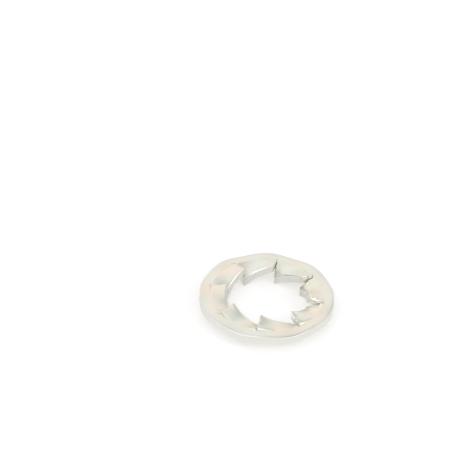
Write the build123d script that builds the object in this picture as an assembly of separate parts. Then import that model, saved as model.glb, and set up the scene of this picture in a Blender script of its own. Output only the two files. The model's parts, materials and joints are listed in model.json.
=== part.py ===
"""Internal-toothed lock washer for an M6 screw, form J, one piece of spring steel strip.

A flat ring is slit outwards from its bore, and the teeth left between the slits are each
twisted about their own radial mid-line, more and more from root to end, so that one corner
stands above the band and the other below it. The rim keeps a slight wave, where the twist
of the teeth runs out into it. The origin is on the bore's axis, in the plane of the lowest
tooth corners, with one tooth's mid-line over +X.
"""

from build123d import *
from math import cos, hypot, radians, sin, tan
import os

# Driving dimensions, in millimetres and degrees.
OUTER_DIAMETER = 11.0
BORE_DIAMETER = 6.5
THICKNESS = 0.7
TOOTH_COUNT = 8
BAND_WIDTH = 0.85            # from the outer edge to the roots of the teeth
SLIT_WIDTH = 0.08
SLIT_LEAD = 2.25             # how far each slit lies past half-way between two mid-lines
TWIST_ANGLE = 27.0           # slope across a tooth where the bore cuts it
RIM_WAVE = 0.09              # rise and fall of the rim about its mean height
ROLLOVER_RADIUS = 0.13       # upper edges drawn in by the punch
END_RADIUS = 0.1             # upper edge of a tooth's end, drawn in less
BORE_SLUG = 0.4              # radial stock inside the bore, cut away with it
SECTIONS_PER_TOOTH = 13

outer_radius = OUTER_DIAMETER / 2
bore_radius = BORE_DIAMETER / 2
root_radius = outer_radius - BAND_WIDTH
tooth_length = root_radius - bore_radius
pitch = 360 / TOOTH_COUNT


def rim_height(angle):
    """Height of the waved rim, with one crest and one dip to each tooth."""
    return -RIM_WAVE * sin(radians(TOOTH_COUNT * angle))


def tooth_height(radius, angle):
    """Height of the twisted tooth: it grows evenly from nothing at the root."""
    at_bore = -tan(radians(TWIST_ANGLE)) * bore_radius * sin(radians(angle))
    return at_bore * (root_radius - radius) / tooth_length


def end_half_depth(angle):
    """Half the upright depth of a tooth's end, so that it measures THICKNESS square to its face."""
    across = tan(radians(TWIST_ANGLE))
    along = tooth_height(bore_radius, angle) / tooth_length
    return THICKNESS / 2 * hypot(1, across, along)


def radial_section(angle):
    """The strip cut through the axis at this angle, from the rim to inside the bore."""
    inner_radius = bore_radius - BORE_SLUG
    rim = (outer_radius, rim_height(angle), THICKNESS / 2)
    root = (root_radius, 0, THICKNESS / 2)
    end = (inner_radius, tooth_height(inner_radius, angle), end_half_depth(angle))
    upper_side = [(radius, height + half) for radius, height, half in (rim, root, end)]
    lower_side = [(radius, height - half) for radius, height, half in (end, root, rim)]
    section = make_face(Polyline(upper_side + lower_side, close=True))
    rim_corner = section.vertices().sort_by_distance(upper_side[0])[0]
    section = fillet(rim_corner, ROLLOVER_RADIUS)
    return Rot(0, 0, angle) * (Plane.XZ * section)


def tooth_sector():
    """One tooth with its share of the band, lofted round the axis from slit to slit."""
    first_angle = SLIT_LEAD - pitch / 2
    step = pitch / (SECTIONS_PER_TOOTH - 1)
    return loft([radial_section(first_angle + step * i) for i in range(SECTIONS_PER_TOOTH)])


def slit():
    """The cut between two teeth, open at the bore and round at its outer end."""
    cut = Rectangle(root_radius, SLIT_WIDTH, align=(Align.MIN, Align.CENTER))
    cut += Pos(root_radius, 0) * Circle(SLIT_WIDTH / 2)
    return Rot(0, 0, pitch / 2 + SLIT_LEAD) * extrude(cut, OUTER_DIAMETER / 2, both=True)


def cut_tooth():
    """The sector with the bore and both its slits cut, and its upper inner edge rounded."""
    tooth = tooth_sector() - Cylinder(bore_radius, OUTER_DIAMETER)
    tooth -= [slit(), Rot(0, 0, -pitch) * slit()]
    long_edges = [edge for edge in tooth.edges() if edge.length > bore_radius * radians(pitch) * 0.9]
    end_edges = [edge for edge in long_edges if hypot((edge @ 0.5).X, (edge @ 0.5).Y) < bore_radius + 0.01]
    upper_edge = max(end_edges, key=lambda edge: (edge @ 0.5).Z)
    return fillet(upper_edge, END_RADIUS)

def lock_washer():
    tooth = cut_tooth()
    ring = Part() + [Rot(0, 0, pitch * i) * tooth for i in range(TOOTH_COUNT)]
    return Pos(0, 0, -ring.bounding_box().min.Z) * ring


washer = lock_washer()
os.makedirs("parts", exist_ok=True)
export_step(washer, "parts/lock_washer.step")
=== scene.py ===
# %% [markdown]
# # An internal-toothed lock washer
#
# The real object is one piece of spring steel strip. A punch cuts the ring, slits it outwards
# from the bore and twists the teeth, and the finished washer is zinc plated in a barrel.
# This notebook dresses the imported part: one surface worked out with numpy for the washer,
# two finishes for its struck and its cut faces, and a small pale studio round it.

import json
import bmesh
import bpy
import numpy as np
from mathutils import Matrix, Vector


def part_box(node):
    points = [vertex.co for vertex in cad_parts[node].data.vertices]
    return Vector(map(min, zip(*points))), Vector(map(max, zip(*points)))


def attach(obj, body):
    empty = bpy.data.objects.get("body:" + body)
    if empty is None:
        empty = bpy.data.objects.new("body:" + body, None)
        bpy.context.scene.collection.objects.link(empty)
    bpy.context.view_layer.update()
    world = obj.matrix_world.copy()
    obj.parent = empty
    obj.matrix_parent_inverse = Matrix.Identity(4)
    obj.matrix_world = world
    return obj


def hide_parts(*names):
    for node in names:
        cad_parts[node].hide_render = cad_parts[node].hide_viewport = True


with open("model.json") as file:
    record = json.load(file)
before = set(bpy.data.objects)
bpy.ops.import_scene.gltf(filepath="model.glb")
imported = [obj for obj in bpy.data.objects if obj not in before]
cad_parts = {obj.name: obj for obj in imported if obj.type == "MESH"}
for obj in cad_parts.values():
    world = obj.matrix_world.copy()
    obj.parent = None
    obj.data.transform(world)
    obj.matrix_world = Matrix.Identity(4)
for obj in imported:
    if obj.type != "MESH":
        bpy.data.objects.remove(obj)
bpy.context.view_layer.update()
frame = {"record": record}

# %% [markdown]
# ## Sizes
#
# Blender works in metres and a washer is drawn in millimetres. The washer's sizes are written
# in millimetres, and are multiplied by MM where Blender needs metres. The frame gives what it
# can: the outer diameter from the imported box, and the bore from the record's mount.

# %% Sizes, in millimetres
MM = 0.001
low_corner, high_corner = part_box("lock_washer")
OUTER_RADIUS = (high_corner[0] - low_corner[0]) / 2 / MM
BORE_RADIUS = frame["record"]["mounts"][0]["dims"]["r_mm"]
THICKNESS = 0.7
TOOTH_COUNT = 8
BAND_WIDTH = 0.85                # the ring between the slits' ends and the rim
SLIT_WIDTH = 0.08                # at the bore
SLIT_TIP_WIDTH = 0.03            # the plating nearly closes the slit at its tip
SLIT_LEAD = np.radians(2.25)     # each slit lies this far past the half pitch
TWIST_SLOPE = np.tan(np.radians(27.0))   # of the tooth's end
RIM_WAVE = 0.09                  # how far the rim rises, and how far it drops

ROOT_RADIUS = OUTER_RADIUS - BAND_WIDTH
SLIT_TIP_RADIUS = ROOT_RADIUS + SLIT_TIP_WIDTH / 2
TOOTH_LENGTH = ROOT_RADIUS - BORE_RADIUS
PITCH = 2 * np.pi / TOOTH_COUNT
SLIT_AFTER = PITCH / 2 + SLIT_LEAD       # the slit on a tooth's counter-clockwise side
SLIT_BEFORE = SLIT_AFTER - PITCH
print(f"outer radius {OUTER_RADIUS:.3f} mm, bore radius {BORE_RADIUS:.3f} mm")

# %% [markdown]
# ## The strip's middle surface
#
# A twisted tooth is a ruled surface: its height grows evenly from nothing at the root to a
# straight slope across the end. The band round it waves gently, because the twist runs out
# into it. The angle is measured from the tooth's mid-line, so one formula serves every tooth.

# %% Height of the middle surface
CREASE_RUN = SLIT_TIP_WIDTH / 2  # the band bends into a tooth over this run, each way


def ramp(x):
    """Nothing below -CREASE_RUN and x above it. Between them a parabola joins the two: the
    square of x plus the run, over four runs."""
    bend = (x + CREASE_RUN) ** 2 / (4 * CREASE_RUN)
    return np.where(x < -CREASE_RUN, 0, np.where(x > CREASE_RUN, x, bend))


def middle_height(radius, angle):
    """The tooth's slope times its distance from the mid-line, in proportion to how far inside
    the root it is, plus the rim's wave in proportion to how far outside the root it is."""
    tooth = -TWIST_SLOPE * BORE_RADIUS * np.sin(angle)
    wave = -RIM_WAVE * np.sin(TOOTH_COUNT * angle)
    tooth_height = tooth * ramp(ROOT_RADIUS - radius) / TOOTH_LENGTH
    band_height = wave * ramp(radius - ROOT_RADIUS) / BAND_WIDTH
    return tooth_height + band_height


def half_depth(radius, angle):
    """Half the strip's upright depth, so that it measures THICKNESS square to its face: half
    of THICKNESS times the root of one plus the squares of both slopes."""
    step = 0.01
    turn = step / radius
    along = middle_height(radius + step, angle) - middle_height(radius - step, angle)
    across = middle_height(radius, angle + turn) - middle_height(radius, angle - turn)
    return THICKNESS / 2 * np.sqrt(1 + (along / step / 2) ** 2 + (across / step / 2) ** 2)


low_angle = SLIT_AFTER - np.arcsin(SLIT_WIDTH / 2 / BORE_RADIUS)
BASE_HEIGHT = half_depth(BORE_RADIUS, low_angle) - middle_height(BORE_RADIUS, low_angle)
print(f"the middle of the band is {BASE_HEIGHT:.3f} mm above the lowest corners")

# %% [markdown]
# ## Roll-over of the edges
#
# A punch drags the upper edge of every cut down with it, more in width than in depth. A Bevel
# modifier would round all edges alike. Here each edge has its own quarter ellipse, worked out
# from the distance to that edge, so the bore can be rounder than the slits and the rim.

# %% Roll-over of the edges
BORE_ROLL = (0.27, 0.17)         # width in from the edge, depth
SLIT_ROLL = (0.22, 0.08)
RIM_ROLL = (0.26, 0.05)
BURR_ROLL = (0.03, 0.02)
CORNER_POWER = 4                 # a higher power gives crisper tooth corners


def arc_steps(width, count):
    """Distances in from an edge that cut its quarter ellipse in equal steps of angle: the
    width times one less the cosine."""
    return width * (1 - np.cos(np.linspace(0, np.pi / 2, count)))


def closeness(distance, width):
    """One at an edge, nothing at the roll-over's width from it and beyond."""
    return np.clip(1 - distance / width, 0, 1)


def join_closeness(*shares):
    """The shares' power sum, which rounds the corner where two edges meet."""
    total = sum(share ** CORNER_POWER for share in shares)
    return np.clip(total, 0, 1) ** (1 / CORNER_POWER)


def rolled(share, depth):
    """How far an edge has dropped: a quarter ellipse, depth times one less the root of one
    less the square of the closeness."""
    return depth * (1 - np.sqrt(1 - share ** 2))


print(f"the bore's edge rolls over {BORE_ROLL[1]:.2f} mm deep, the rim's {RIM_ROLL[1]:.2f} mm")

# %% [markdown]
# ## The grid
#
# One tooth and its share of the band is a grid of rows, from the bore to the rim, and columns,
# from slit to slit. Lines crowd together near every edge, where the surface turns fastest.
# A column beside a slit keeps its distance from the slit's wall. Where the slit has ended, the
# outer columns of two neighbours meet, and their points can be merged.

# %% Rows and columns
EDGE_WIDTH = 0.30                # lines crowd together within this distance of an edge
ROOT_RUN = 0.30                  # and over this run inside the root
EDGE = arc_steps(EDGE_WIDTH, 9)
MIDDLE_COLUMNS = 26
slit_end = SLIT_TIP_WIDTH / 2 * np.sin(np.linspace(0, np.pi / 2, 6))
# From the bore outwards. Each run leaves its last row to the next run.
rows = np.concatenate([
    (BORE_RADIUS + EDGE)[:-1],
    np.linspace(BORE_RADIUS + EDGE[-1], ROOT_RADIUS - ROOT_RUN, 13)[:-1],
    np.linspace(ROOT_RADIUS - ROOT_RUN, ROOT_RADIUS - CREASE_RUN, 12)[:-1],
    np.linspace(ROOT_RADIUS - CREASE_RUN, ROOT_RADIUS, 5)[:-1],
    (ROOT_RADIUS + slit_end)[:-1],
    (SLIT_TIP_RADIUS + EDGE[:7])[:-1],
    np.linspace(SLIT_TIP_RADIUS + EDGE[6], OUTER_RADIUS - EDGE[7], 6)[:-1],
    (OUTER_RADIUS - EDGE[7::-1]),
])
TIP_ROW = int(np.argmin(abs(rows - SLIT_TIP_RADIUS)))


def slit_taper(radius):
    """Half the slit's width, which grows evenly from its tip to the bore."""
    share = np.clip((ROOT_RADIUS - radius) / TOOTH_LENGTH, 0, 1)
    return (SLIT_TIP_WIDTH + (SLIT_WIDTH - SLIT_TIP_WIDTH) * share) / 2


def slit_half_width(radius):
    """The taper, and past the root the half circle that closes it: the root of the half width
    squared less the run past the root squared."""
    beyond = np.clip(radius - ROOT_RADIUS, 0, SLIT_TIP_WIDTH / 2)
    return np.sqrt(slit_taper(radius) ** 2 - beyond ** 2)


def plan_grid():
    """Radius and angle of every point. The first row follows the tooth's end, with its two
    corners rounded as the power curve that join_closeness draws. Each later row is shifted
    less, in proportion to its distance from the root."""
    near_side = closeness(EDGE, SLIT_ROLL[0])
    corner = BORE_ROLL[0] * (1 - (1 - near_side ** CORNER_POWER) ** (1 / CORNER_POWER))
    shift = np.concatenate([corner, np.zeros(MIDDLE_COLUMNS - 1), corner[::-1]])
    fade = np.clip((ROOT_RADIUS - rows) / TOOTH_LENGTH, 0, 1)
    radius = rows[:, None] + fade[:, None] * shift
    beside = radius[:, :len(EDGE)]
    from_slit = np.arcsin((slit_half_width(beside) + EDGE) / beside)
    first, last = SLIT_BEFORE + from_slit, SLIT_AFTER - from_slit[:, ::-1]
    share = np.arange(1, MIDDLE_COLUMNS) / MIDDLE_COLUMNS
    middle = first[:, -1:] + (last[:, :1] - first[:, -1:]) * share
    return radius, np.concatenate([first, middle, last], axis=1)


def slit_distance(radius, angle):
    """Distance in plan to the nearer slit, which is a straight cut with a round end: the
    distance to its centre line less half its width."""
    distances = []
    for slit_angle in (SLIT_BEFORE, SLIT_AFTER):
        across = radius * np.sin(angle - slit_angle)
        beyond = np.clip(radius * np.cos(angle - slit_angle) - ROOT_RADIUS, 0, None)
        distances.append(np.hypot(across, beyond) - slit_taper(radius))
    return np.clip(np.minimum(*distances), 0, None)


radius, angle = plan_grid()
print(f"{radius.shape[0]} rows by {radius.shape[1]} columns for each tooth")

# %% [markdown]
# ## Step at the root of each raised corner
#
# The punch that twists a tooth leaves a small step along the root of its raised corner. It
# could be a crease with faces of its own. Here it is a steep rise inside the root and a slow
# fade towards the bore, added to the upper face's height, so the grid stays even.

# %% Step at the root
STEP_HEIGHT = 0.19               # as it would be without the fade
STEP_RUN = 0.11                  # the step rises over this run
STEP_FADE = 0.40                 # and fades over this one towards the bore
STEP_LENGTH = 1.5                # along the root, from the slit
# The height times one less a quick exponential fall, times a slow one, times the root of the
# share of the length that is left.
inside = np.clip(ROOT_RADIUS - radius, 0, None)
along_root = np.clip(1 - (angle - SLIT_BEFORE) * ROOT_RADIUS / STEP_LENGTH, 0, 1)
rise = 1 - np.exp(-inside / STEP_RUN)
root_step = STEP_HEIGHT * rise * np.exp(-inside / STEP_FADE) * np.sqrt(along_root)
print(f"the step is {root_step.max():.3f} mm high")

# %% [markdown]
# ## Upper and lower faces
#
# Both faces stand half the strip's depth from the middle surface. The upper one rolls over at
# each edge, and the lower one is nearly square there, with only the trace of a burr. Two more
# values go with each point for the finish to use: how much its zinc was rubbed, and how much
# painted shade it gets near the lowered corner by the slit and the bore.

# %% Faces of one tooth
BLEND_RUN = 0.1                  # the bore's roll-over passes into the slit's over this run
RIM_RUB_WIDTH = 0.45             # the barrel rubs the rim this far in
PAINTED_SHADE_REACH = (0.7, 1.3)          # painted shade reaches this far from the slit, and from the bore
to_slit = slit_distance(radius, angle)
to_bore = radius - BORE_RADIUS
to_rim = OUTER_RADIUS - radius
near_hole = join_closeness(closeness(to_slit, SLIT_ROLL[0]), closeness(to_bore, BORE_ROLL[0]))
near_rim = closeness(to_rim, RIM_ROLL[0])
near_burr = closeness(np.minimum(np.minimum(to_slit, to_bore), to_rim), BURR_ROLL[0])
blend = np.clip((to_slit - to_bore) / BLEND_RUN + 0.5, 0, 1)
hole_depth = SLIT_ROLL[1] + (BORE_ROLL[1] - SLIT_ROLL[1]) * blend
rubbed_share = np.maximum(near_hole, closeness(to_rim, RIM_RUB_WIDTH))
# Painted shade: darkest at each tooth's lowered corner, by its counter-clockwise slit and the bore,
# fading over its reach.
past_root = np.clip(radius - ROOT_RADIUS, 0, None)
to_low_slit = np.hypot(radius * np.sin(SLIT_AFTER - angle), past_root)
painted_shade_share = closeness(to_low_slit, PAINTED_SHADE_REACH[0]) * closeness(to_bore, PAINTED_SHADE_REACH[1])

middle = BASE_HEIGHT + middle_height(radius, angle)
half = half_depth(radius, angle)
upper = middle + half - rolled(near_hole, hole_depth) - rolled(near_rim, RIM_ROLL[1]) + root_step
lower = middle - half + rolled(near_burr, BURR_ROLL[1])
print(f"upper face {upper.min():.3f} to {upper.max():.3f} mm")
print(f"lower face {lower.min():.3f} to {lower.max():.3f} mm")

# %% [markdown]
# ## Cut walls
#
# A sheared wall has zones. Under the roll-over is a smooth land that the punch burnished.
# Below it the metal tore, so that zone is dull, grainy and set back a little, and it ends in
# the burr. The zones could be cut in one by one. Here one profile of set-back against depth is
# carried along the outline of the holes and round the rim.

# %% Profile of a cut wall
# Levels are shares of the wall's depth from the top. The land ends at 0.36.
wall_levels = np.array([0, 0.09, 0.18, 0.27, 0.33, 0.36, 0.39, 0.43, 0.52, 0.66, 0.8, 0.92, 1])
wall_set_back = np.array([0, 0, 0, 0, 0, 0.002, 0.012, 0.02, 0.024, 0.027, 0.028, 0.02, 0])


def wall(line_radius, line_angle, top, bottom, inward):
    """Points of a wall: each level's height is a share of the way from top to bottom, and its
    place in plan is the outline set back along the inward direction by the profile."""
    x, y = line_radius * np.cos(line_angle), line_radius * np.sin(line_angle)
    outline = np.stack([x, y], axis=-1)
    plan = outline[None] + wall_set_back[:, None, None] * inward[None]
    height = top[None] + (bottom - top)[None] * wall_levels[:, None]
    return np.concatenate([plan, height[..., None]], axis=-1)


def outline_inward(line_radius, line_angle):
    """Directions square to the outline in plan, into the metal: the line's own direction,
    turned a quarter turn clockwise. At both ends the outline crosses its slit, so there the direction is
    straight out from the axis."""
    x, y = line_radius * np.cos(line_angle), line_radius * np.sin(line_angle)
    along = np.stack([np.gradient(x), np.gradient(y)], axis=-1)
    along /= np.linalg.norm(along, axis=-1, keepdims=True)
    inward = np.stack([along[:, 1], -along[:, 0]], axis=-1)
    ends = line_angle[[0, -1]]
    inward[[0, -1]] = np.stack([np.cos(ends), np.sin(ends)], axis=-1)
    return inward


def along_outline(grid):
    """The values of a grid along the holes' outline: in from the slit's end down the first
    column, along the tooth's end, and out again up the last column."""
    down = grid[TIP_ROW::-1, 0]
    up = grid[:TIP_ROW + 1, -1]
    return np.concatenate([down[:-1], grid[0, :-1], up])


hole_line = [along_outline(grid) for grid in (radius, angle, upper, lower)]
hole_wall = wall(*hole_line, outline_inward(*hole_line[:2]))
rim_line = [grid[-1] for grid in (radius, angle, upper, lower)]
rim_inward = -np.stack([np.cos(rim_line[1]), np.sin(rim_line[1])], axis=-1)
rim_wall = wall(*rim_line, rim_inward)
print(f"{hole_wall.shape[1]} points along the holes' outline")
print(f"{rim_wall.shape[1]} points along the rim")

# %% [markdown]
# ## One mesh from four patches
#
# The upper face, the lower face, the hole's wall and the rim's wall are four grids of points.
# An Array modifier could repeat them round the axis, but then all teeth would stay alike.
# Here numpy turns the points once for each tooth, and a later step makes the teeth differ.

# %% Patches
SLIT_RUB_START = 0.3             # a slit's walls are rubbed in full this far from the bore


def sheet(height):
    """A face of one tooth as points in millimetres."""
    return np.stack([radius * np.cos(angle), radius * np.sin(angle), height], axis=-1)


def length_along(line):
    """Running length of a line of points, in millimetres."""
    steps = np.linalg.norm(np.diff(line[:, :2], axis=0), axis=-1)
    return np.concatenate([[0], np.cumsum(steps)])


def grid_squares(row_count, column_count):
    """The four point numbers of every square of a grid, as one array."""
    corner = np.arange(row_count - 1)[:, None] * column_count + np.arange(column_count - 1)
    squares = [corner, corner + 1, corner + column_count + 1, corner + column_count]
    return np.stack(squares, axis=-1).reshape(-1, 4)


wall_depth = np.broadcast_to(wall_levels[:, None], hole_wall.shape[:2])
rim_depth = np.broadcast_to(wall_levels[:, None], rim_wall.shape[:2])
hole_length = np.broadcast_to(length_along(hole_wall[0]), hole_wall.shape[:2])
rim_length = np.broadcast_to(length_along(rim_wall[0]), rim_wall.shape[:2])
hole_painted_shade = np.broadcast_to(along_outline(painted_shade_share), hole_wall.shape[:2])
slit_rubbed = along_outline(np.clip(to_bore / SLIT_RUB_START, 0, 1))
hole_rubbed = np.broadcast_to(slit_rubbed, hole_wall.shape[:2])
hole_uv = np.stack([hole_length, wall_depth], axis=-1)
rim_uv = np.stack([rim_length, rim_depth], axis=-1)
# The lower face and the rim's wall get no painted shade.
lower_no_shade = np.zeros(lower.shape)
rim_no_shade = np.zeros(rim_depth.shape)
rim_rubbed = np.ones(rim_depth.shape)
# Each patch: its points, its UV map, how much it was rubbed, how much painted shade it gets,
# and its finish: 0 for plated, 1 for sheared. The plating has closed over the rim's wall, so it
# wears the plated finish, rubbed all over.
patches = [
    (sheet(upper), sheet(upper)[..., :2], rubbed_share, painted_shade_share, 0),
    (sheet(lower), sheet(lower)[..., :2], near_burr, lower_no_shade, 0),
    (hole_wall, hole_uv, hole_rubbed, hole_painted_shade, 1),
    (rim_wall, rim_uv, rim_rubbed, rim_no_shade, 0),
]


def turned(points):
    """The points turned round the axis once for each tooth: x times the cosine less y times
    the sine, and x times the sine plus y times the cosine."""
    turn = PITCH * np.arange(TOOTH_COUNT)[:, None]
    flat = points.reshape(-1, 3)
    x = flat[:, 0] * np.cos(turn) - flat[:, 1] * np.sin(turn)
    y = flat[:, 0] * np.sin(turn) + flat[:, 1] * np.cos(turn)
    return np.stack([x, y, np.broadcast_to(flat[:, 2], x.shape)], axis=-1).reshape(-1, 3)


print(f"{len(patches)} patches for each of {TOOTH_COUNT} teeth")

# %% Join the patches
all_points, all_squares, all_uv = [], [], []
all_rubbed, all_painted_shade, all_finish = [], [], []
start = 0
for points, uv, rubbed, pooled, finish in patches:
    squares = grid_squares(*points.shape[:2])
    count = points.shape[0] * points.shape[1]
    starts = start + count * np.arange(TOOTH_COUNT)
    all_squares.append((squares[None] + starts[:, None, None]).reshape(-1, 4))
    all_points.append(turned(points))
    all_uv.append(np.tile(uv.reshape(-1, 2), (TOOTH_COUNT, 1)))
    all_rubbed.append(np.tile(rubbed.reshape(-1), TOOTH_COUNT))
    all_painted_shade.append(np.tile(pooled.reshape(-1), TOOTH_COUNT))
    all_finish.append(np.full(len(squares) * TOOTH_COUNT, finish))
    start += count * TOOTH_COUNT
print(f"{start} points in all patches")

# %% [markdown]
# ## Smeared metal round the slits
#
# Slitting and twisting leave the strip lumpy near each slit's end, and no two ends are alike.
# The lumps could be sculpted one by one. Here sine waves that cross in space push the points
# about, so one formula gives every slit's end lumps of its own.

# %% Smeared metal round the slits
LUMP_HEIGHT = 0.07               # the most a point could move each way, if all waves agreed
LUMP_REACH = (0.40, 0.75)        # across the slit and along it
LUMP_PLACE = ROOT_RADIUS - 0.35  # the lumps' middle, from the axis
LUMP_SEED = 7                    # another value gives other lumps
WAVE_LENGTHS = np.array([0.28, 0.37, 0.50, 0.32, 0.43])
WAVE_COUNT = len(WAVE_LENGTHS)
wave_numbers = np.random.default_rng(LUMP_SEED).normal(size=(3, WAVE_COUNT, 3))
wave_sizes = np.linalg.norm(wave_numbers, axis=-1, keepdims=True)
wave_numbers *= 2 * np.pi / (WAVE_LENGTHS[:, None] * wave_sizes)


def lumps(points):
    """Each coordinate's shift is the lumps' height times the mean of sine waves that cross in
    space. It fades out as one less the square of the distance from their middle, over their
    reach."""
    radius = np.hypot(points[:, 0], points[:, 1])
    turn = np.arctan2(points[:, 1], points[:, 0]) - SLIT_AFTER
    across = radius * np.sin((turn + PITCH / 2) % PITCH - PITCH / 2)
    far = (across / LUMP_REACH[0]) ** 2 + ((radius - LUMP_PLACE) / LUMP_REACH[1]) ** 2
    phases = np.einsum("pk,cwk->pcw", points, wave_numbers) + np.arange(WAVE_COUNT)
    waves = np.sin(phases).mean(axis=-1)
    return LUMP_HEIGHT * np.clip(1 - far, 0, 1)[:, None] * waves


points = np.concatenate(all_points)
shifts = lumps(points)
points += shifts
print(f"the lumps move a point by up to {abs(shifts).max():.3f} mm along an axis")

# %% [markdown]
# ## The mesh
#
# The mesh could be built face by face in bmesh. Whole arrays are quicker, and each corner of a
# square can bring its own values, so the finishes still know what was rubbed after the points
# have been merged.

# %% The mesh
points *= MM
squares = np.concatenate(all_squares)
corners = squares.reshape(-1)
uv_values = np.concatenate(all_uv)[corners]
rubbed_values = np.concatenate(all_rubbed)[corners]
painted_shade_values = np.concatenate(all_painted_shade)[corners]
finishes = np.concatenate(all_finish)

mesh = bpy.data.meshes.new("toothed_lock_washer")
mesh.from_pydata(points.tolist(), [], squares.tolist())
outline_map = mesh.uv_layers.new(name="outline")
outline_map.data.foreach_set("uv", uv_values.astype(np.float32).ravel())
# Each corner carries how much it was rubbed and its share of painted shade.
for name, values in (("rubbed", rubbed_values), ("pooled", painted_shade_values)):
    attribute = mesh.attributes.new(name, "FLOAT", "CORNER")
    attribute.data.foreach_set("value", values.astype(np.float32))
mesh.polygons.foreach_set("material_index", finishes.astype(np.int32))
mesh.polygons.foreach_set("use_smooth", np.ones(len(squares), dtype=bool))
print(f"{len(mesh.vertices)} points, {len(mesh.polygons)} squares")

# %% [markdown]
# ## Closing the seams
#
# Neighbouring patches have the same points along their edges, so merging by distance closes
# the seams, and then every face can be made to point outwards. At the slits' tips some points
# are up to 0.0011 mm apart, which is more than the merge distance. Those stay open, and the
# count of open edges below is theirs.

# %% Close the seams and turn the faces outwards
MERGE_DISTANCE = 0.0002          # millimetres
SHARP_ANGLE = np.radians(50)     # an edge that turns by more than this stays crisp
shell = bmesh.new()
shell.from_mesh(mesh)
before = len(shell.verts)
bmesh.ops.remove_doubles(shell, verts=shell.verts, dist=MERGE_DISTANCE * MM)
bmesh.ops.recalc_face_normals(shell, faces=shell.faces)
open_edges = sum(1 for edge in shell.edges if len(edge.link_faces) != 2)
print(f"{before - len(shell.verts)} doubles merged, {open_edges} edges open")
print(f"volume {shell.calc_volume(signed=True) / MM ** 3:.2f} cubic millimetres")
shell.to_mesh(mesh)
shell.free()
mesh.set_sharp_from_angle(angle=SHARP_ANGLE)

washer = bpy.data.objects.new("toothed_lock_washer", mesh)
bpy.context.collection.objects.link(washer)
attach(washer, "root")
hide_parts("lock_washer")
print(f"{len(mesh.polygons) * 2} triangles")

# %% [markdown]
# ## Helpers for the finishes
#
# Colours are written as hex codes, which are display values, and a shader wants them linear.
# One small function adds a node, sets what is given and links what is a socket.

# %% Colour and node helpers
def colour(hex_code):
    """A hex code as linear red, green, blue and alpha: each share is over 12.92 if dark, and
    otherwise the 2.4th power of itself plus 0.055, over 1.055."""
    shares = np.array([int(hex_code[i:i + 2], 16) for i in (1, 3, 5)]) / 255
    linear = np.where(shares <= 0.04045, shares / 12.92, ((shares + 0.055) / 1.055) ** 2.4)
    return (*linear.tolist(), 1.0)


def add_node(tree, kind, inputs=None, **settings):
    """Adds a node with its settings. An input given a socket is linked, and one given a value
    is set to it."""
    node = tree.nodes.new(kind)
    for name, value in settings.items():
        setattr(node, name, value)
    for name, value in (inputs or {}).items():
        if isinstance(value, bpy.types.NodeSocket):
            tree.links.new(value, node.inputs[name])
        else:
            node.inputs[name].default_value = value
    return node


def new_material(name):
    """An empty node material: its tree and its output node."""
    material = bpy.data.materials.new(name)
    material.use_nodes = True
    material.node_tree.nodes.clear()
    output = add_node(material.node_tree, "ShaderNodeOutputMaterial")
    return material, material.node_tree, output


def mixed(tree, share, first, second):
    """A colour that is the first one where the share is nothing and the second where it is 1."""
    return add_node(tree, "ShaderNodeMix", {0: share, 6: first, 7: second},
                    data_type="RGBA").outputs[2]


print("display grey #808080 is", round(colour("#808080")[0], 3), "in linear light")

# %% [markdown]
# ## Struck faces: zinc plated, passivated spring steel
#
# Barrel plating leaves a satin zinc skin over the rolled strip, and the passivating dip gives
# it pale cream, pink and green clouds. The eye sees a pale, faintly tinted metal with broad
# soft highlights. Edges are smoother and less tinted where they rubbed in the barrel. The
# tints could be painted, but noise in real sizes covers every face and never repeats.

# %% Material of the struck faces
CLOUD_SIZE = 1.8                 # patches of one tint, in millimetres
CLOUD_PLACE = 8.0                # another value gives other clouds
GRAIN_SIZE = 0.09                # the plating's grain is finer in truth, but this size shows
GRAIN_HEIGHT = 0.004
CLOUD_TINTS = [(0.34, "#F5E9DA"), (0.43, "#F1EADC"), (0.50, "#EFECDE"), (0.62, "#EBEDE2")]
RUBBED_ZINC = "#E4E3DD"          # the film is thinner there, and the bluish zinc shows
FACE_PAINTED_SHADE = "#B9B6A8"           # painted shade, darkening each tooth's lowered corner

plated, tree, output = new_material("zinc plated, passivated spring steel")
place = add_node(tree, "ShaderNodeTexCoord").outputs["Object"]
clouds = add_node(tree, "ShaderNodeTexNoise", {
    "Vector": place,
    "W": CLOUD_PLACE,
    "Scale": 1 / (CLOUD_SIZE * MM),
    "Detail": 2.0,
}, noise_dimensions="4D")
tints = add_node(tree, "ShaderNodeValToRGB", {"Fac": clouds.outputs["Fac"]})
while len(tints.color_ramp.elements) < len(CLOUD_TINTS):
    tints.color_ramp.elements.new(0.5)
for element, (position, code) in zip(tints.color_ramp.elements, CLOUD_TINTS):
    element.position = position
    element.color = colour(code)
grain = add_node(tree, "ShaderNodeTexNoise", {
    "Vector": place,
    "Scale": 1 / (GRAIN_SIZE * MM),
    "Detail": 3.0,
}).outputs["Fac"]
rubbed = add_node(tree, "ShaderNodeAttribute", attribute_name="rubbed").outputs["Fac"]
thin_film = add_node(tree, "ShaderNodeMapRange", {
    "Value": rubbed,
    "From Min": 0.2,
    "From Max": 1.0,
}).outputs[0]
film = mixed(tree, thin_film, tints.outputs["Color"], colour(RUBBED_ZINC))
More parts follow.
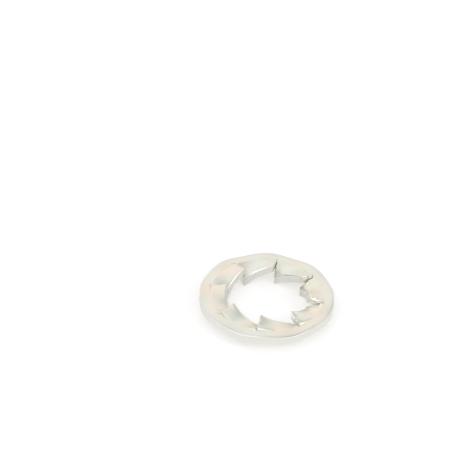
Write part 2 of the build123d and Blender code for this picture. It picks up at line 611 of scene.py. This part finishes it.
# Painted shade: the lowered corner of each tooth is darkened, near its slit and the bore.
pooled = add_node(tree, "ShaderNodeAttribute", attribute_name="pooled").outputs["Fac"]
shade_amount = add_node(tree, "ShaderNodeMapRange", {
    "Value": pooled,
    "From Max": 0.8,
    "To Max": 0.75,
}).outputs[0]
film = mixed(tree, shade_amount, film, colour(FACE_PAINTED_SHADE))
satin = add_node(tree, "ShaderNodeMapRange", {
    "Value": grain,
    "To Min": 0.26,
    "To Max": 0.42,
}).outputs[0]
smoother = add_node(tree, "ShaderNodeMapRange", {
    "Value": rubbed,
    "From Min": 0.5,
    "From Max": 1.0,
    "To Min": 1.0,
    "To Max": 0.7,
}).outputs[0]
roughness = add_node(tree, "ShaderNodeMath", {0: satin, 1: smoother}, operation="MULTIPLY")
bump = add_node(tree, "ShaderNodeBump", {
    "Height": grain,
    "Strength": 0.25,
    "Distance": GRAIN_HEIGHT * MM,
})
metal = add_node(tree, "ShaderNodeBsdfPrincipled", {
    "Base Color": film,
    "Metallic": 1.0,
    "Roughness": roughness.outputs[0],
    "Normal": bump.outputs["Normal"],
})
tree.links.new(metal.outputs["BSDF"], output.inputs["Surface"])
print("material:", plated.name)

# %% [markdown]
# ## Cut faces: sheared spring steel under the same zinc
#
# The land that the punch burnished is smooth and mirrors what is round it. Where the metal
# tore, the zinc lies on a grainy surface, so that zone is dull, in nearly the same tone. Two
# materials with a border between them would need faces that follow it. One material is used
# instead, and it tells land from torn zone by the depth in the wall's own map.

# %% Material of the cut faces
WANDER_LENGTH = 0.35             # of the waves in the border between land and torn zone
WANDER_DEPTH = 0.14              # as a share of the wall's depth
TORN_FROM, TORN_TO = 0.40, 0.47  # depth plus wander where the tear begins, and where it is full
GRIT_SIZE = 0.06
GRIT_HEIGHT = 0.015
LAND_ZINC, TORN_ZINC = "#D8D7D1", "#DFDED9"
RUBBED_WALL = "#FAF9F6"          # a slit's two walls rubbed past each other in the twisting
WALL_PAINTED_SHADE = "#B9B3A6"           # painted shade on the walls by each tooth's lowered corner

sheared, tree, output = new_material("sheared edge of zinc plated spring steel")
along = add_node(tree, "ShaderNodeUVMap", uv_map="outline").outputs["UV"]
place = add_node(tree, "ShaderNodeTexCoord").outputs["Object"]
parts = add_node(tree, "ShaderNodeSeparateXYZ", {"Vector": along})
wander = add_node(tree, "ShaderNodeTexNoise", {
    "Vector": place,
    "Scale": 1 / (WANDER_LENGTH * MM),
    "Detail": 2.0,
}).outputs["Fac"]
depth = add_node(tree, "ShaderNodeMath", {0: wander, 1: WANDER_DEPTH, 2: parts.outputs["Y"]},
                 operation="MULTIPLY_ADD").outputs[0]
torn = add_node(tree, "ShaderNodeMapRange", {
    "Value": depth,
    "From Min": TORN_FROM,
    "From Max": TORN_TO,
}).outputs[0]
grit = add_node(tree, "ShaderNodeTexNoise", {
    "Vector": place,
    "Scale": 1 / (GRIT_SIZE * MM),
    "Detail": 4.0,
}).outputs["Fac"]
zinc = mixed(tree, torn, colour(LAND_ZINC), colour(TORN_ZINC))
rubbed = add_node(tree, "ShaderNodeAttribute", attribute_name="rubbed").outputs["Fac"]
zinc = mixed(tree, rubbed, zinc, colour(RUBBED_WALL))
# Painted shade on the walls by each tooth's lowered corner.
pooled = add_node(tree, "ShaderNodeAttribute", attribute_name="pooled").outputs["Fac"]
shade_amount = add_node(tree, "ShaderNodeMapRange", {
    "Value": pooled,
    "From Max": 0.8,
    "To Max": 0.25,
}).outputs[0]
zinc = mixed(tree, shade_amount, zinc, colour(WALL_PAINTED_SHADE))
roughness = add_node(tree, "ShaderNodeMapRange", {
    "Value": torn,
    "To Min": 0.16,
    "To Max": 0.5,
})
tear = add_node(tree, "ShaderNodeMath", {0: grit, 1: torn}, operation="MULTIPLY")
bump = add_node(tree, "ShaderNodeBump", {
    "Height": tear.outputs[0],
    "Strength": 0.5,
    "Distance": GRIT_HEIGHT * MM,
})
metal = add_node(tree, "ShaderNodeBsdfPrincipled", {
    "Base Color": zinc,
    "Metallic": 1.0,
    "Roughness": roughness.outputs[0],
    "Normal": bump.outputs["Normal"],
})
tree.links.new(metal.outputs["BSDF"], output.inputs["Surface"])
mesh.materials.append(plated)
mesh.materials.append(sheared)
print("material:", sheared.name)

# %% [markdown]
# ## Camera
#
# The washer lies flat and is seen from a little under forty degrees above, from far enough
# away for the ring to keep its proportions. The camera is placed on the line of sight to the
# middle of the ring's upper face, rolled a little, and then turned so that the washer sits
# right of the middle and below it.

# %% Place and aim the camera
SENSOR_WIDTH = 36.0              # millimetres
FRAME_WIDTH = 470                # pixels, the width and height of the picture
VIEW_TURN = np.radians(12.5)     # the tooth over +X is seen this far round from the right
VIEW_HEIGHT = np.radians(38.65)  # above the horizon
VIEW_ROLL = np.radians(3.87)
VIEW_DISTANCE = 0.165            # metres
FOCAL_PIXELS = 2022.9            # focal length, as pixels of that width
AIM_RIGHT, AIM_DOWN = 31.94, 59.28   # pixels from the picture's middle to the ring's middle

away = np.array([np.sin(VIEW_TURN), np.cos(VIEW_TURN), 0])
level_right = np.array([np.cos(VIEW_TURN), -np.sin(VIEW_TURN), 0])
upright = np.array([0, 0, 1.0])
sight = away * np.cos(VIEW_HEIGHT) - upright * np.sin(VIEW_HEIGHT)
level_up = away * np.sin(VIEW_HEIGHT) + upright * np.cos(VIEW_HEIGHT)
right = level_right * np.cos(VIEW_ROLL) + level_up * np.sin(VIEW_ROLL)
up = level_up * np.cos(VIEW_ROLL) - level_right * np.sin(VIEW_ROLL)
target = np.array([0, 0, (BASE_HEIGHT + THICKNESS / 2) * MM])
aim = sight - right * AIM_RIGHT / FOCAL_PIXELS + up * AIM_DOWN / FOCAL_PIXELS
aim /= np.linalg.norm(aim)
right -= aim * right.dot(aim)
right /= np.linalg.norm(right)
up = np.cross(right, aim)

camera_data = bpy.data.cameras.new("camera")
camera_data.sensor_width = SENSOR_WIDTH
camera_data.lens = FOCAL_PIXELS / FRAME_WIDTH * SENSOR_WIDTH
camera_data.clip_start = 0.001
camera = bpy.data.objects.new("camera", camera_data)
bpy.context.collection.objects.link(camera)
stand = target - sight * VIEW_DISTANCE
camera.matrix_world = Matrix([
    [right[0], up[0], -aim[0], stand[0]],
    [right[1], up[1], -aim[1], stand[1]],
    [right[2], up[2], -aim[2], stand[2]],
    [0, 0, 0, 1],
])
bpy.context.scene.camera = camera
print(f"lens {camera_data.lens:.1f} mm, camera at", [round(v, 4) for v in stand.tolist()])

# %% [markdown]
# ## Studio
#
# Metal shows what is round it, so the washer stands in a light tent: white paper under it,
# white cloth all round, and two soft lamps in front. The paper could simply be lit until it
# is white, but then the washer would be too bright. It glows a little instead, and only for
# the camera and for reflections.

# %% Floor
FLOOR_LIT = 0.6                  # the paper's own colour, lit by the tent and the lamps
FLOOR_GLOW = 0.44                # what the camera and reflections see on top of it
FLOOR_REACH = 1.5                # metres from the washer to the paper's sides
floor_mesh = bpy.data.meshes.new("floor")
floor_corners = [
    (-FLOOR_REACH, -FLOOR_REACH, 0),
    (FLOOR_REACH, -FLOOR_REACH, 0),
    (FLOOR_REACH, FLOOR_REACH, 0),
    (-FLOOR_REACH, FLOOR_REACH, 0),
]
floor_mesh.from_pydata(floor_corners, [], [(0, 1, 2, 3)])
floor = bpy.data.objects.new("floor", floor_mesh)
bpy.context.collection.objects.link(floor)

paper, tree, output = new_material("matt white paper")
rays = add_node(tree, "ShaderNodeLightPath")
seen = add_node(tree, "ShaderNodeMath", {
    0: rays.outputs["Is Camera Ray"],
    1: rays.outputs["Is Glossy Ray"],
}, operation="MAXIMUM")
seen = add_node(tree, "ShaderNodeMath", {
    0: seen.outputs[0],
    1: rays.outputs["Is Transmission Ray"],
}, operation="MAXIMUM")
shine = add_node(tree, "ShaderNodeMath", {0: seen.outputs[0], 1: FLOOR_GLOW}, operation="MULTIPLY")
matt = add_node(tree, "ShaderNodeBsdfDiffuse", {"Color": (FLOOR_LIT, FLOOR_LIT, FLOOR_LIT, 1)})
glow = add_node(tree, "ShaderNodeEmission", {"Strength": shine.outputs[0]})
both = add_node(tree, "ShaderNodeAddShader", {0: matt.outputs[0], 1: glow.outputs[0]})
tree.links.new(both.outputs[0], output.inputs["Surface"])
floor_mesh.materials.append(paper)
print("floor material:", paper.name)

# %% [markdown]
# ## The tent's cloth and its openings
#
# A tent that is white everywhere would leave the metal without shape. A real one has darker
# openings, and their soft reflections show which way each face leans. They could be dark cards
# round the washer. Here the world's brightness is lowered towards each opening, which leaves
# no object that could come into view or cast a shadow.

# %% World
TENT_BRIGHTNESS = 1.02
# Each opening's direction, how much darker it is, and a power that makes it narrower.
OPENINGS = [
    (0.45, 0.20, 0.87, 0.50, 8.0),
    (-1.0, 0.0, 0.2, 0.45, 6.0),
    (0.0, 1.0, 0.0, 0.26, 16.0),
]


def studio_direction(sideways, forwards, upwards):
    """A direction from the washer: so much of the camera's right, of its level line away, and
    of straight up, its length made one."""
    return Vector(level_right * sideways + away * forwards + upright * upwards).normalized()


world = bpy.data.worlds.new("light tent")
bpy.context.scene.world = world
world.use_nodes = True
tree = world.node_tree
tree.nodes.clear()
rays = add_node(tree, "ShaderNodeLightPath")
direction = add_node(tree, "ShaderNodeTexCoord").outputs["Generated"]
tent = TENT_BRIGHTNESS
for sideways, forwards, upwards, darkness, power in OPENINGS:
    centre = studio_direction(sideways, forwards, upwards)
    toward = add_node(tree, "ShaderNodeVectorMath", {0: direction, 1: centre},
                      operation="DOT_PRODUCT").outputs["Value"]
    toward = add_node(tree, "ShaderNodeMath", {0: toward, 1: 0.0}, operation="MAXIMUM").outputs[0]
    opening = add_node(tree, "ShaderNodeMath", {0: toward, 1: power}, operation="POWER").outputs[0]
    tent = add_node(tree, "ShaderNodeMath", {0: opening, 1: -darkness, 2: tent},
                    operation="MULTIPLY_ADD").outputs[0]
# The camera itself sees plain white.
strength = add_node(tree, "ShaderNodeMix", {0: rays.outputs["Is Camera Ray"], 2: tent, 3: 1.0})
cloth = add_node(tree, "ShaderNodeBackground", {
    "Color": (1, 1, 1, 1),
    "Strength": strength.outputs[0],
})
add_node(tree, "ShaderNodeOutputWorld", {"Surface": cloth.outputs[0]})
print(f"{len(OPENINGS)} darker openings in the tent")

# %% [markdown]
# ## Lamps
#
# Two soft boxes stand in front, one on each side. A lamp of this size gives the satin zinc
# broad highlights and the washer a faint, soft shadow. Bare bulbs would give hard sparks.

# %% Lamps
LAMP_DISTANCE = 0.3              # metres
LAMP_SIZE = 0.15                 # metres
LAMP_BRIGHTNESS = 1.5            # against the white surroundings' 1


def soft_lamp(name, sideways, forwards, upwards):
    """A square lamp in that studio direction, turned to face the washer. Its power is its
    brightness times pi times its area."""
    data = bpy.data.lights.new(name, "AREA")
    data.shape = "SQUARE"
    data.size = LAMP_SIZE
    data.energy = LAMP_BRIGHTNESS * np.pi * LAMP_SIZE ** 2
    direction = studio_direction(sideways, forwards, upwards)
    lamp = bpy.data.objects.new(name, data)
    lamp.location = direction * LAMP_DISTANCE
    lamp.rotation_euler = direction.to_track_quat("Z", "Y").to_euler()
    bpy.context.collection.objects.link(lamp)
    print(f"{name}: {data.energy:.3f} watts")


soft_lamp("left_lamp", -0.39, -0.63, 0.67)
soft_lamp("right_lamp", 0.66, -0.43, 0.62)

bpy.context.scene.view_settings.view_transform = "Standard"
